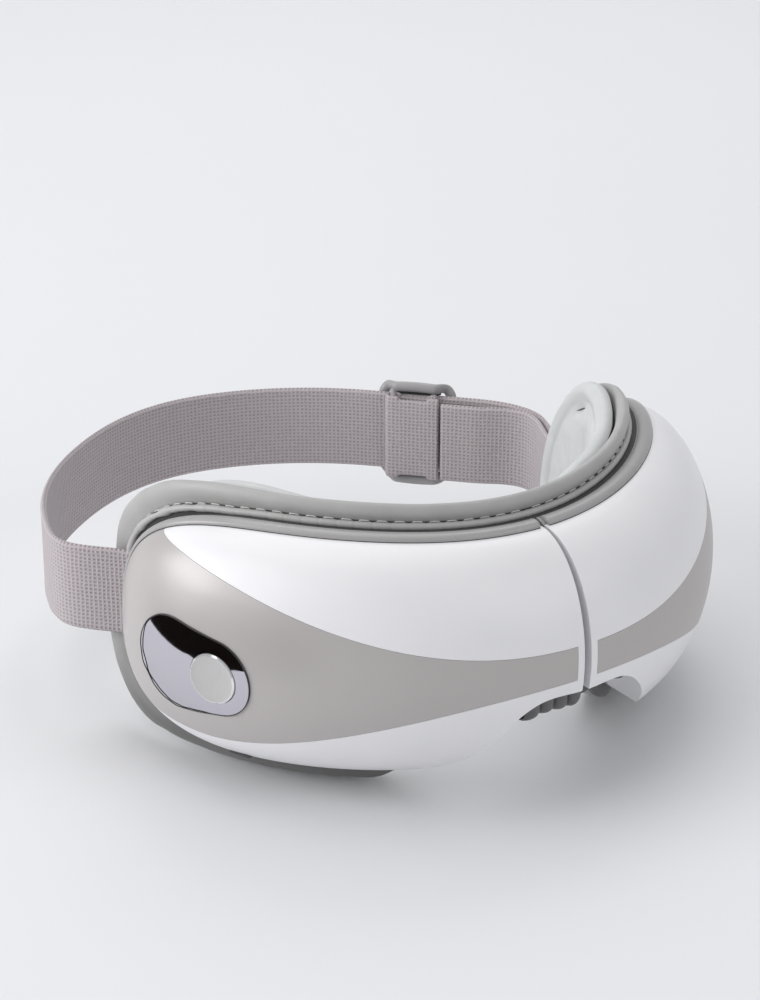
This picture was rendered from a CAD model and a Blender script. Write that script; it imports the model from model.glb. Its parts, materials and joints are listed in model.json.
"""Eye massager: the shells, padding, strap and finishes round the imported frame."""

import json
import math

import bmesh
import bpy
import numpy as np
from bpy.props import FloatProperty, FloatVectorProperty, PointerProperty
from mathutils import Matrix, Vector, noise


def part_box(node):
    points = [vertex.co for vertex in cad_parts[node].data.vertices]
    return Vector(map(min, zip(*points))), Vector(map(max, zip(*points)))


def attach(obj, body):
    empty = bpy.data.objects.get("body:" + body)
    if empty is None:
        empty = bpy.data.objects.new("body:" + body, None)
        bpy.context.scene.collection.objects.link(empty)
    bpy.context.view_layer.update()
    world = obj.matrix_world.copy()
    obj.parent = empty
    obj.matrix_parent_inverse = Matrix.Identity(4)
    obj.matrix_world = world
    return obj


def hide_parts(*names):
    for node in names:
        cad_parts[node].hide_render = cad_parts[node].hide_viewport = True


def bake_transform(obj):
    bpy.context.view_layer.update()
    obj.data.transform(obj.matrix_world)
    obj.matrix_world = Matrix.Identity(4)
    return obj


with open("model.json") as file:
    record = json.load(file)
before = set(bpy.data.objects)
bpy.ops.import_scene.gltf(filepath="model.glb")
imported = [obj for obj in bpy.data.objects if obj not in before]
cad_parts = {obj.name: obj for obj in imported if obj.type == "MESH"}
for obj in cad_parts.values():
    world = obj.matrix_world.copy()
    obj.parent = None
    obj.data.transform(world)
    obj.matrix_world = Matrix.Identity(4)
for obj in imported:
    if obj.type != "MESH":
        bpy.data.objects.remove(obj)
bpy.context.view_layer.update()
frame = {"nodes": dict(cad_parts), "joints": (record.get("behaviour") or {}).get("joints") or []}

bl_info = {
    "name": "Eye Massager",
    "version": (1, 0, 0),
    "blender": (4, 5, 0),
    "location": "3D View > Sidebar > Massager",
    "description": "Builds a folding eye massager round its packed frame",
    "category": "Object",
}

RIGHT_BODY, LEFT_BODY = "right_half", "left_half"
SIDES = (("right", -1), ("left", 1))
MM = 0.001

# How square the outline's corners are: 2 is an ellipse
OUTLINE_POWER = 2.5

# One side of the nose arch below its top: share of its spread outward, share of its fall
ARCH_COURSE = ((0.0, 0.02), (0.27, 0.24), (0.48, 0.57))

# Share of the arch's spread over which the edge changes from the cheek's form to the arch's
ARCH_BLEND = 0.62


# Settings

def length(name, description, default):
    return FloatProperty(name=name, description=description, default=default, precision=5,
                         subtype="DISTANCE", unit="LENGTH")


def turn(name, description, degrees):
    return FloatProperty(name=name, description=description, default=math.radians(degrees),
                         subtype="ANGLE", unit="ROTATION")


def tint(name, description, default):
    return FloatVectorProperty(name=name, description=description, default=default, size=3,
                               min=0.0, max=1.0, subtype="COLOR")


class MassagerBodySettings(bpy.types.PropertyGroup):
    """Sizes of the wrap-round body."""
    half_width: length("Half width", "Half width of the line where shell and rim meet", 0.093)
    depth: length("Depth", "Depth of that half oval, nose to temples", 0.0999)
    center_y: length("Centre", "Where the oval's centre stands", 0.0083)
    tip_angle: turn("Temple tip", "Oval angle of the temple tip", 87.3)
    brow_angle: turn("Brow corner", "Oval angle where the brow starts to round down", 50.0)
    cheek_angle: turn("Cheek corner", "Oval angle where the cheek starts to round up", 52.0)
    bottom: length("Bottom", "Height of the shell's lower edge", 0.0122)
    top: length("Top", "Height of the shell's upper edge at the nose", 0.0863)
    brow_rise: length("Brow rise", "How much higher the upper edge is at the brow", 0.0027)
    temple_height: length("Temple height", "Height of the temple tip", 0.0404)
    arch_height: length("Arch height", "Height of the nose arch", 0.040)
    arch_half_width: length("Arch half width", "Half width of the arch's level top", 0.0165)
    arch_foot: length("Arch foot", "Half width of the arch at the shell's lower edge", 0.047)


class MassagerPaddingSettings(bpy.types.PropertyGroup):
    """Sizes of the face padding."""
    arch_crest: length("Arch crest", "Bolster past the nose arch", 0.0022)
    hem_level: length("Hem level", "Middle of the piped hem behind the rim line", -0.0068)
    hem_out: length("Hem place", "Middle of the hem out of the shell's edge line", 0.0018)
    hem_radius: length("Hem radius", "Half height of the piped hem", 0.00115)
    stitch_pitch: length("Stitch pitch", "Distance from stitch to stitch", 0.0054)
    stitch_length: length("Stitch length", "Length of one stitch", 0.0040)
    thread: length("Thread", "Thread radius", 0.00023)
    pad_level: length("Pad level", "Middle of the pad's rolled edge behind the rim line", -0.0145)
    roll: length("Pad roll", "Radius of the roll round the eye pad", 0.0031)


class MassagerStrapSettings(bpy.types.PropertyGroup):
    """Sizes of the head strap and its slider."""
    width: length("Width", "Elastic strap width", 0.030)
    thickness: length("Thickness", "Elastic strap thickness", 0.002)
    height: length("Height", "Strap's middle above the standing surface", 0.046)
    weave: length("Weave", "Distance from thread to thread in the weave", 0.00150)
    slider_inside: length("Slider inside", "Slider's loop bar inside the strap", 0.0041)
    slider_side: length("Slider side bars", "Slider's side bars from the strap's middle, inwards", -0.0027)
    slider_rail: length("Slider rails", "Slider's rails from the strap's middle, inwards", 0.0015)
    slider_half: length("Slider half length", "Half the slider's length along the strap", 0.0142)
    bar_place: length("Bar place", "Slider's loop bar from its middle, along the strap", -0.0082)
    return_start: length("Return start", "Where the return layer starts, from the slider's middle", 0.0098)
    return_lift: length("Return lift", "Return layer's middle inside the strap at its start", 0.0078)


class MassagerFinishSettings(bpy.types.PropertyGroup):
    """Colours of the finishes."""
    shell: tint("Shell", "White moulded shell", (0.80, 0.795, 0.815))
    trim: tint("Trim", "Taupe trim belt", (0.455, 0.43, 0.425))
    rim: tint("Rim", "Satin grey rim", (0.36, 0.352, 0.35))
    chrome: tint("Panel", "Bright control panel", (0.60, 0.585, 0.64))
    button: tint("Button", "Satin power button", (0.47, 0.465, 0.465))
    ring: tint("Button ring", "Bright edge of the button", (0.92, 0.92, 0.93))
    bolster: tint("Bolster", "Warm grey leather", (0.41, 0.405, 0.40))
    pad: tint("Eye pad", "Pale soft leather", (0.605, 0.618, 0.615))
    gusset: tint("Gusset", "Dark pleated skin", (0.12, 0.117, 0.12))
    joint: tint("Joints", "Shade in the narrow gaps between pieces", (0.03, 0.03, 0.031))
    strap: tint("Strap", "Mauve grey elastic", (0.47, 0.420, 0.438))
    slider: tint("Slider", "Grey moulded slider", (0.34, 0.33, 0.335))


class MassagerStageSettings(bpy.types.PropertyGroup):
    """Floor, light and camera."""
    floor: tint("Floor", "Pale floor and backdrop", (0.775, 0.778, 0.795))
    azimuth: turn("Azimuth", "Camera azimuth, 0 looks along +Y", -34.5)
    elevation: turn("Elevation", "Camera elevation", 24.0)
    distance: length("Distance", "Camera distance from its target", 0.9277)
    target: FloatVectorProperty(name="Target", description="Point that the camera looks at", size=3,
                                default=(0.0163, 0.0195, 0.0499), precision=5,
                                subtype="TRANSLATION", unit="LENGTH")
    lens: FloatProperty(name="Lens", description="Focal length on a 36 mm sensor", default=97.2,
                        unit="CAMERA")


# Lines and surfaces of the body

def smooth_step(share):
    share = np.clip(share, 0, 1)
    return share * share * (3 - 2 * share)


def curve_through(points, count):
    """Points evenly spaced on a smooth curve through the given ones."""
    points = np.asarray(points, float)
    steps = np.linalg.norm(np.diff(points, axis=0), axis=1)
    knots = np.concatenate([[0], np.cumsum(steps)])
    size = len(points)
    system = np.zeros((size, size))
    right = np.zeros_like(points)
    system[0, 0] = system[-1, -1] = 1
    for i in range(1, size - 1):
        system[i, i - 1:i + 2] = steps[i - 1], 2 * (steps[i - 1] + steps[i]), steps[i]
        right[i] = 6 * ((points[i + 1] - points[i]) / steps[i] - (points[i] - points[i - 1]) / steps[i - 1])
    bend = np.linalg.solve(system, right)
    fine = np.linspace(0, knots[-1], 40 * size)
    span = np.clip(np.searchsorted(knots, fine, side="right") - 1, 0, size - 2)
    wide = steps[span][:, None]
    ahead = (fine - knots[span])[:, None]
    behind = wide - ahead
    line = (bend[span] * behind ** 3 + bend[span + 1] * ahead ** 3) / (6 * wide)
    line += (points[span] / wide - bend[span] * wide / 6) * behind
    line += (points[span + 1] / wide - bend[span + 1] * wide / 6) * ahead
    return evenly(line, count)


def run_length(line):
    """Length of a polyline up to each of its points."""
    return np.concatenate([[0], np.cumsum(np.linalg.norm(np.diff(line, axis=0), axis=1))])


def sampled(line, reach, wanted):
    """A polyline's points at the wanted lengths along it."""
    return np.stack([np.interp(wanted, reach, line[:, k]) for k in range(line.shape[1])], axis=1)


def evenly(line, count):
    """The same polyline with evenly spaced points."""
    reach = run_length(line)
    return sampled(line, reach, np.linspace(0, reach[-1], count))


def unit(vectors):
    return vectors / np.linalg.norm(vectors, axis=1)[:, None]


def beside(along):
    """Unit vectors at right angles to vectors in a plane."""
    return unit(np.stack([along[:, 1], -along[:, 0]], axis=1))


def full_turn(count):
    """Angles evenly spaced round a circle."""
    return np.linspace(0, 2 * np.pi, count, endpoint=False)


class Loop:
    """Edge line of the body: oval angle, height, outward direction and share of the nose arch."""

    def __init__(self, angle, height, across, up, radius, arch):
        self.angle, self.height = angle, height
        self.across, self.up = across, up
        self.radius, self.arch = radius, arch


class Wrap:
    """The wrap-round body, worked out from its settings. Negative angles are the right half."""

    def __init__(self, body):
        self.body = body
        fall = body.arch_height - body.bottom
        flare = body.arch_foot - body.arch_half_width
        half = [(body.arch_half_width + out * flare, body.arch_height - down * fall)
                for out, down in ARCH_COURSE] + [(body.arch_foot, body.bottom)]
        points = [(-x, z) for x, z in reversed(half)] + [(0.0, body.arch_height)] + half
        line = curve_through(points, 401)
        self.arch_line = line[200:]

    def normal(self, angle):
        across = np.sin(angle) / self.body.half_width
        along = -np.cos(angle) / self.body.depth
        size = np.hypot(across, along)
        return across / size, along / size

    def point(self, angle, outward, height):
        across, along = self.normal(angle)
        x = self.body.half_width * np.sin(angle) + outward * across
        y = self.body.center_y - self.body.depth * np.cos(angle) + outward * along
        return np.stack(np.broadcast_arrays(x, y, height), axis=-1)

    def radius(self, angle, level):
        return np.hypot(self.body.half_width * np.cos(angle), self.body.depth * np.sin(angle)) + level

    def angle_at(self, x, level):
        """Oval angle at which the line at that level has that distance from the middle."""
        angle = np.arcsin(np.asarray(x, float) / (self.body.half_width + level))
        for _ in range(6):
            gap = self.point(angle, level, 0)[..., 0] - x
            angle = angle - gap / (self.radius(angle, level) * np.cos(angle))
        return angle

    def edges(self, angle):
        body = self.body
        angle = np.abs(angle)
        brow = self.rounded((angle - body.brow_angle) / (body.tip_angle - body.brow_angle))
        cheek = self.rounded((angle - body.cheek_angle) / (body.tip_angle - body.cheek_angle))
        rise = body.brow_rise * (1 - np.cos(np.pi * np.minimum(angle / body.brow_angle, 1))) / 2
        upper = body.temple_height + (body.top + rise - body.temple_height) * brow
        lower = body.temple_height - (body.temple_height - body.bottom) * cheek
        return upper, lower

    @staticmethod
    def rounded(share):
        return (1 - np.clip(share, 0, 1) ** OUTLINE_POWER) ** (1 / OUTLINE_POWER)

    def half_loop(self, level, count):
        """Edge of the left half, from the nose top round the temple to the top of the arch."""
        body = self.body
        share = np.sin(np.linspace(0, np.pi / 2, 80)) ** (2 / OUTLINE_POWER)
        top = np.concatenate([np.linspace(0, body.brow_angle, 60)[:-1],
                              body.brow_angle + (body.tip_angle - body.brow_angle) * share])
        low = (body.cheek_angle + (body.tip_angle - body.cheek_angle) * share)[::-1][1:]
        foot = float(self.angle_at(body.arch_foot, level))
        low = np.concatenate([low, np.linspace(body.cheek_angle, foot, 12)[1:]])
        arch_x, arch_z = self.arch_line[::-1, 0][1:], self.arch_line[::-1, 1][1:]
        angle = np.concatenate([top, low, self.angle_at(arch_x, level)])
        height = np.concatenate([self.edges(top)[0], self.edges(low)[1], arch_z])
        reach = body.arch_foot - body.arch_half_width
        arch = np.concatenate([np.zeros(len(top) + len(low)),
                               np.clip((body.arch_foot - arch_x) / reach, 0, 1)])
        radius = self.radius(angle, level)
        along = np.concatenate([[0], np.cumsum(np.diff(angle) * (radius[1:] + radius[:-1]) / 2)])
        length_so_far = np.concatenate([[0], np.cumsum(np.hypot(np.diff(along), np.diff(height)))])
        wanted = np.linspace(0, length_so_far[-1], count)
        angle, height, arch, along, radius = (np.interp(wanted, length_so_far, values)
                                              for values in (angle, height, arch, along, radius))
        across, up = -np.gradient(height), np.gradient(along)
        size = np.hypot(across, up)
        across, up = across / size, up / size
        across[0] = across[-1] = 0
        return Loop(angle, height, across, up, radius, arch)

    def whole_loop(self, level, count):
        """Edge of both halves as one closed line."""
        half = self.half_loop(level, count)
        joined = []
        for values, sign in ((half.angle, -1), (half.height, 1), (half.across, -1), (half.up, 1),
                             (half.radius, 1), (half.arch, 1)):
            joined.append(np.concatenate([values, sign * values[::-1][1:-1]]))
        return Loop(*joined)

    def around(self, loop, outward, level):
        """Points beside a loop: outward from the edge line, at a level behind the rim line."""
        outward = np.asarray(outward, float)
        extra = (slice(None),) + (None,) * (outward.ndim - 1)
        angle = loop.angle[extra] + outward * loop.across[extra] / loop.radius[extra]
        height = loop.height[extra] + outward * loop.up[extra]
        return self.point(angle, level, height)


def closed_curve(points, count):
    """Points evenly spaced on a smooth closed curve through the given ones."""
    rounds = np.concatenate([points, points, points, points[:1]])
    return curve_through(rounds, 3 * count + 1)[count:2 * count]


def arch_share(loop, start=0.0):
    """How much of the nose arch's form a place on the edge has, from 0 to 1."""
    return smooth_step((loop.arch - start) / ARCH_BLEND)


def piping(body, loop, place, level, radius, sides):
    """Surface of a round cord beside a loop."""
    turns = full_turn(sides)[None, :]
    sizes = [np.broadcast_to(size, len(loop.angle))[:, None] for size in (place, level, radius)]
    return body.around(loop, sizes[0] + sizes[2] * np.sin(turns), sizes[1] + sizes[2] * np.cos(turns))


# Meshes

def grid_faces(rows, columns, close_rows=False, close_columns=False):
    faces = []
    for i in range(rows if close_rows else rows - 1):
        for j in range(columns if close_columns else columns - 1):
            k, m = (i + 1) % rows, (j + 1) % columns
            faces.append((i * columns + j, i * columns + m, k * columns + m, k * columns + j))
    return faces


def tube_faces(rings, sides):
    """Faces of a tube of that many rings, with both ends capped."""
    last = (rings - 1) * sides
    caps = [tuple(range(sides))[::-1], tuple(last + k for k in range(sides))]
    return grid_faces(rings, sides, False, True) + caps


def shifted(faces, base):
    """The same faces for points that start later in the list."""
    return [tuple(base + corner for corner in face) for face in faces]


def new_piece(name, points, faces, finish, uv=None, sharp=None):
    """A mesh object with merged points, outward faces and one finish."""
    mesh = bpy.data.meshes.new(name)
    mesh.from_pydata([tuple(p) for p in np.asarray(points).reshape(-1, 3)], [], faces)
    if uv is not None:
        layer = mesh.uv_layers.new(name="UVMap")
        corner = np.zeros(len(mesh.loops), dtype=np.int32)
        mesh.loops.foreach_get("vertex_index", corner)
        layer.data.foreach_set("uv", np.asarray(uv, np.float32).reshape(-1, 2)[corner].ravel())
    shape = bmesh.new()
    shape.from_mesh(mesh)
    bmesh.ops.remove_doubles(shape, verts=shape.verts, dist=2e-6)
    bmesh.ops.dissolve_degenerate(shape, edges=shape.edges, dist=1e-6)
    bmesh.ops.recalc_face_normals(shape, faces=shape.faces)
    shape.to_mesh(mesh)
    shape.free()
    mesh.polygons.foreach_set("use_smooth", [True] * len(mesh.polygons))
    if sharp is not None:
        mesh.set_sharp_from_angle(angle=sharp)
    mesh.materials.append(finish)
    piece = bpy.data.objects.new(name, mesh)
    bpy.context.scene.collection.objects.link(piece)
    return piece


def ripple(points, pitch, seed=0.0):
    """Smooth noise at each point, from -1 to 1."""
    flat = np.asarray(points).reshape(-1, 3) / pitch + seed
    values = [noise.noise(Vector(p)) for p in flat]
    return np.array(values).reshape(np.asarray(points).shape[:-1])


def rumpled(points, layers, sign=1):
    """Unevenness in metres at each point. A layer is a pitch, a seed and a depth."""
    return sum(ripple(points, pitch, sign * seed) * deep for pitch, seed, deep in layers)


# Finishes

class Finish:
    """A procedural material built up from its colour, grain and unevenness."""

    def __init__(self, name, colour, roughness, metallic=0.0, specular=0.5):
        self.material = bpy.data.materials.new(name)
        self.material.use_nodes = True
        self.nodes = self.material.node_tree.nodes
        self.links = self.material.node_tree.links
        self.shader = self.nodes["Principled BSDF"]
        self.colour = tuple(colour)
        self.shader.inputs["Base Color"].default_value = (*self.colour, 1)
        self.shader.inputs["Roughness"].default_value = roughness
        self.shader.inputs["Metallic"].default_value = metallic
        self.shader.inputs["Specular IOR Level"].default_value = specular
        self.place = None
        self.normal = None

    def node(self, kind, **inputs):
        made = self.nodes.new(kind)
        for name, value in inputs.items():
            made.inputs[name.replace("_", " ")].default_value = value
        return made

    def where(self, kind="Object"):
        if self.place is None:
            self.place = self.nodes.new("ShaderNodeTexCoord")
        return self.place.outputs[kind]

    def noise(self, pitch, detail=4.0, roughness=0.55):
        texture = self.node("ShaderNodeTexNoise", Scale=1 / pitch, Detail=detail, Roughness=roughness)
        self.links.new(self.where(), texture.inputs["Vector"])
        return texture.outputs["Fac"]

    def ramp(self, source, low, high, start=0.3, stop=0.7):
        """A number that follows the source between two values."""
        scale = self.nodes.new("ShaderNodeMapRange")
        scale.inputs["From Min"].default_value, scale.inputs["From Max"].default_value = start, stop
        scale.inputs["To Min"].default_value, scale.inputs["To Max"].default_value = low, high
        self.links.new(source, scale.inputs["Value"])
        return scale.outputs["Result"]

    def mottle(self, source, darker, start=0.3, stop=0.7):
        """Colour that varies with the source from a darker tone to the full one."""
        mix = self.nodes.new("ShaderNodeMix")
        mix.data_type = "RGBA"
        first, second = [s for s in mix.inputs if s.type == "RGBA"]
        first.default_value = (*[c * darker for c in self.colour], 1)
        second.default_value = (*self.colour, 1)
        self.links.new(self.ramp(source, 0.0, 1.0, start, stop), mix.inputs["Factor"])
        colour = [s for s in mix.outputs if s.type == "RGBA"][0]
        self.links.new(colour, self.shader.inputs["Base Color"])
        return self

    def uneven(self, source, low, high):
        self.links.new(self.ramp(source, low, high), self.shader.inputs["Roughness"])
        return self

    def bump(self, source, strength, depth):
        bump = self.node("ShaderNodeBump", Strength=strength, Distance=depth)
        self.links.new(source, bump.inputs["Height"])
        if self.normal is not None:
            self.links.new(self.normal, bump.inputs["Normal"])
        self.normal = bump.outputs["Normal"]
        self.links.new(self.normal, self.shader.inputs["Normal"])
        return self

    def pebble(self, pitch):
        """Cell pattern of a leather grain."""
        cells = self.node("ShaderNodeTexVoronoi", Scale=1 / pitch)
        cells.feature = "SMOOTH_F1"
        self.links.new(self.where(), cells.inputs["Vector"])
        return cells.outputs["Distance"]

    def wave(self, pitch, axis, kind="UV", distortion=0.0):
        """Even bands, as threads lie in a weave."""
        bands = self.node("ShaderNodeTexWave", Scale=math.pi / (10 * pitch), Distortion=distortion)
        bands.wave_type = "BANDS"
        bands.bands_direction = axis
        bands.wave_profile = "SIN"
        self.links.new(self.where(kind), bands.inputs["Vector"])
        return bands.outputs["Fac"]

    def times(self, first, second, operation="MULTIPLY"):
        combine = self.nodes.new("ShaderNodeMath")
        combine.operation = operation
        self.links.new(first, combine.inputs[0])
        self.links.new(second, combine.inputs[1])
        return combine.outputs[0]


def moulded(name, colour, roughness, pitch=0.0006, depth=0.00001, metallic=0.0):
    """Moulded plastic with a faint spark-eroded texture and uneven sheen."""
    finish = Finish(name, colour, roughness, metallic)
    grain = finish.noise(pitch, detail=3.0)
    broad = finish.noise(0.03, detail=2.0)
    finish.uneven(broad, roughness - 0.035, roughness + 0.035)
    finish.mottle(broad, 0.975)
    return finish.bump(grain, 0.25, depth).material


def leather(name, colour, roughness, pitch, depth, low=1.0):
    """Soft leatherette with pebbled grain, faint tone changes and a darker tone low down."""
    finish = Finish(name, colour, roughness, specular=0.4)
    grain = finish.pebble(pitch)
    broad = finish.noise(0.012, detail=5.0)
    split = finish.nodes.new("ShaderNodeSeparateXYZ")
    finish.links.new(finish.where(), split.inputs[0])
    foot = finish.ramp(split.outputs["Z"], low, 1.0, 0.010, 0.036)
    finish.mottle(finish.times(finish.ramp(broad, 0.90, 1.0), foot), 0.0, 0.0, 1.0)
    finish.uneven(broad, roughness - 0.06, roughness + 0.08)
    finish.shader.inputs["Sheen Weight"].default_value = 0.12
    finish.bump(broad, 0.25, 0.0004)
    return finish.bump(grain, 0.35, depth).material


def woven(name, colour, pitch):
    """Elastic webbing: crossing threads with dark gaps."""
    finish = Finish(name, colour, 0.85, specular=0.25)
    weft = finish.wave(pitch, "X", distortion=1.4)
    warp = finish.wave(pitch * 0.9, "Y", distortion=1.4)
    height = finish.times(weft, warp, "MAXIMUM")
    fuzz = finish.noise(0.0006, detail=3.0)
    uneven = finish.times(height, finish.ramp(fuzz, 0.0, 0.4), "ADD")
    finish.mottle(uneven, 0.62, 0.25, 1.0)
    finish.shader.inputs["Sheen Weight"].default_value = 0.25
    finish.shader.inputs["Sheen Roughness"].default_value = 0.6
    finish.bump(fuzz, 0.3, 0.00015)
    return finish.bump(height, 0.7, 0.0004).material


def polished(name, colour, roughness):
    """Bright metal with the faint waviness of plating."""
    finish = Finish(name, colour, roughness, metallic=1.0)
    broad = finish.noise(0.02, detail=2.0)
    finish.uneven(broad, roughness * 0.7, roughness * 1.4)
    finish.mottle(broad, 0.97)
    return finish.bump(broad, 0.04, 0.0002).material


def settings():
    return bpy.context.scene.massager


def wrap():
    return Wrap(settings().body)


def dress(nodes, finish):
    """Give carried-over frame nodes a finish."""
    for name in nodes:
        mesh = frame["nodes"][name].data
        mesh.materials.clear()
        mesh.materials.append(finish)


def ride_half(piece, side_name):
    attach(piece, RIGHT_BODY if side_name == "right" else LEFT_BODY)
    return piece


def cross_nose(piece):
    """Let a soft piece bend from half to half over the hinge."""
    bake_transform(piece)
    return piece


# Hard pieces

# The rim's rounded bead: out of the rim line, then out of the shell's edge line, in millimetres
RIM_SECTION = ((0.9, -0.4), (1.1, 0.5), (0.7, 1.35), (-0.6, 1.95), (-2.4, 1.95), (-3.6, 1.3), (-4.1, 0.4),
               (-1.6, -0.6))

# What the bead loses over the nose arch: share of its section, then metres inward and back
ARCH_THINNING, ARCH_SINK, ARCH_SETBACK = 0.8, 0.0006, 0.0014

# The fine dark joint between shell and rim, and how far both lines stop short of the seam
JOINT_LEVEL, JOINT_ARCH_SETBACK, JOINT_RADIUS = 0.0010, 0.0012, 0.0002
SEAM_CLEARANCE = 0.0013

# The dark joint round the control panel, and how near to its edge the panel's depth is taken
PANEL_JOINT_RADIUS, PANEL_JOINT_GAP, PANEL_EDGE = 0.00018, 0.00003, 0.0013

# The button cap: radius, height over the rim of its dish, in millimetres
BUTTON_PROFILE = ((0.0, -0.55), (2.0, -0.53), (4.0, -0.45), (6.0, -0.30), (7.2, -0.14), (7.62, -0.04),
                  (7.66, 0.0), (7.8, 0.0), (8.2, -0.4), (8.2, -2.4), (0.0, -2.4))
BUTTON_RING = (7.66, 8.1)
BUTTON_RING_DEPTH = 0.5


class MASSAGER_OT_shells(bpy.types.Operator):
    """Give the two moulded half shells and their trims their finish"""
    bl_idname = "massager.shells"
    bl_label = "Shells and trims"

    def execute(self, context):
        colours = settings().finish
        dress(["right_shell", "left_shell"], moulded("White Moulding", colours.shell, 0.32))
        dress(["right_trim", "left_trim"], moulded("Trim Taupe", colours.trim, 0.36, metallic=0.12))
        satin = moulded("Rim Grey", colours.rim, 0.28)
        dress(["right_rear_frame", "left_rear_frame"], satin)
        body = wrap()
        loop = body.half_loop(0.0, 600)
        self.bead(body, loop, satin)
        self.joint(body, loop, moulded("Joint Shade", colours.joint, 0.6))
        return {"FINISHED"}

    def bead(self, body, loop, satin):
        """The rim's rounded bead, which thins out over the nose arch."""
        arch = arch_share(loop)[:, None]
        section = closed_curve(np.array(RIM_SECTION), 28)[None] * MM
        slim = 1 - ARCH_THINNING * arch
        outward = section[..., 1] * slim - ARCH_SINK * arch
        level = section[..., 0] * slim - ARCH_SETBACK * arch
        self.both("rim_bead", body.around(loop, outward, level), satin)

    def joint(self, body, loop, shade):
        """The fine dark line between shell and rim."""
        level = JOINT_LEVEL - JOINT_ARCH_SETBACK * arch_share(loop)
        self.both("rim_joint", piping(body, loop, 0.0, level, JOINT_RADIUS, 8), shade)

    def both(self, name, points, finish):
        """A hard line round each half, open at the seam."""
        points = points[np.abs(points[:, 0, 0]) > SEAM_CLEARANCE]
        faces = tube_faces(*points.shape[:2])
        for side_name, sign in SIDES:
            line = new_piece(f"{side_name}_{name}", points * np.array([sign, 1, 1]), faces, finish)
            ride_half(line, side_name)


class MASSAGER_OT_controls(bpy.types.Operator):
    """Finish the bright control panel and build the dished power button"""
    bl_idname = "massager.controls"
    bl_label = "Control panel and button"

    def execute(self, context):
        colours = settings().finish
        chrome = polished("Panel Chrome", colours.chrome, 0.05)
        dress(["control_panel"], chrome)
        joint = [j for j in frame["joints"] if j["name"] == "button_press"][0]
        inward = np.array(joint["axis"], float)
        cad = frame["nodes"]["power_button"]
        corners = np.array([cad.matrix_world @ v.co for v in cad.data.vertices])
        depth = corners @ inward
        middle = corners[depth < depth.min() + 0.0001].mean(0)
        button = self.button(middle, -inward, colours)
        button.data.materials.append(polished("Button Ring", colours.ring, 0.12))
        self.brighten(button, middle, inward)
        self.edge(inward, moulded("Panel Joint", colours.joint, 0.5))
        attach(button, "power_button")
        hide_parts("power_button")
        return {"FINISHED"}

    def edge(self, inward, shade):
        """The narrow dark joint round the panel."""
        panel = frame["nodes"]["control_panel"]
        corners = np.array([panel.matrix_world @ v.co for v in panel.data.vertices])
        level = np.array([-inward[1], inward[0], 0.0])
        flat = np.stack([corners @ level, corners[:, 2]], axis=1)
        turns = np.linspace(0, 2 * np.pi, 361)
        ways = np.stack([np.cos(turns), np.sin(turns)])
        line = evenly(flat[np.argmax(flat @ ways, axis=0)] + PANEL_JOINT_GAP * ways.T, 241)[:-1]
        near = np.linalg.norm(line[:, None] - flat[None], axis=2) < PANEL_EDGE
        depth = np.where(near, (corners @ inward)[None], np.inf).min(1)
        for _ in range(8):
            depth = (np.roll(depth, 1) + depth + np.roll(depth, -1)) / 3
        out = unit(line - line.mean(0))
        round_turns = full_turn(8)
        rim = line[:, None] + out[:, None] * (PANEL_JOINT_RADIUS * np.cos(round_turns))[None, :, None]
        deep = depth[:, None] + PANEL_JOINT_RADIUS * np.sin(round_turns)[None, :]
        points = rim[..., :1] * level + deep[..., None] * inward
        points[..., 2] += rim[..., 1]
        joint = new_piece("panel_joint", points, grid_faces(*points.shape[:2], True, True), shade)
        ride_half(joint, "right")

    def button(self, middle, outward, colours):
        """A turned cap: shallow dish, bright edge, straight skirt."""
        satin = moulded("Button Satin", colours.button, 0.27)
        profile = np.array(BUTTON_PROFILE) * MM
        level = np.array([-outward[1], outward[0], 0.0])
        level /= np.linalg.norm(level)
        up = np.cross(outward, level)
        turns = full_turn(96)
        circle = np.cos(turns)[:, None] * level + np.sin(turns)[:, None] * up
        points = middle + profile[:, None, :1] * circle[None] + profile[:, None, 1:] * outward
        faces = grid_faces(*points.shape[:2], False, True)
        return new_piece("power_button_cap", points, faces, satin, sharp=math.radians(30))

    @staticmethod
    def brighten(button, middle, inward):
        """Give the narrow edge round the dish the bright finish."""
        inner, outer = np.array(BUTTON_RING) * MM
        for face in button.data.polygons:
            off = np.array(face.center) - middle
            radius = np.linalg.norm(off - inward * (off @ inward))
            if inner < radius < outer and off @ inward < BUTTON_RING_DEPTH * MM:
                face.material_index = 1


# Padding

# The bolster's section: behind the rim line, then out of the shell's edge line, in millimetres
BOLSTER_SECTION = ((-8.6, -7.0), (-8.6, 0.2), (-8.1, 2.0), (-7.5, 3.3), (-6.7, 4.7), (-6.6, 6.6),
                   (-7.9, 8.4), (-9.7, 7.9), (-10.7, 5.8), (-11.3, 2.0), (-11.6, -3.0), (-11.0, -7.0),
                   (-9.8, -8.0))

# Sizes that change along the edge: oval angle in degrees, millimetres
BROW_CREST = ((0, 8.4), (54, 8.6), (62, 9.7), (70, 10.2), (82, 11.4), (86, 12.7), (90, 13.5))
CHEEK_CREST = ((0, 9.4), (54, 9.6), (63, 10.0), (70, 10.8), (77, 11.6), (82, 12.6), (86, 13.2), (90, 13.5))
LEFT_CREST = ((0, 8.4), (50, 8.4), (60, 8.0), (74, 7.6), (90, 7.4))
BROW_SPREAD = ((0, 0.0), (62, 0.0), (70, 1.1), (79, 3.2), (83, 5.5), (86, 8.4), (90, 10.0))
CHEEK_SPREAD = ((0, 0.0), (60, 0.0), (70, 1.4), (77, 3.2), (82, 6.6), (84, 8.2), (86, 9.4), (90, 10.0))
PAD_BROW = ((0, 4.6), (45, 5.0), (60, 8.8), (68, 9.6), (74, 8.4), (80, 6.0), (86, 4.2), (90, 4.2))
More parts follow.
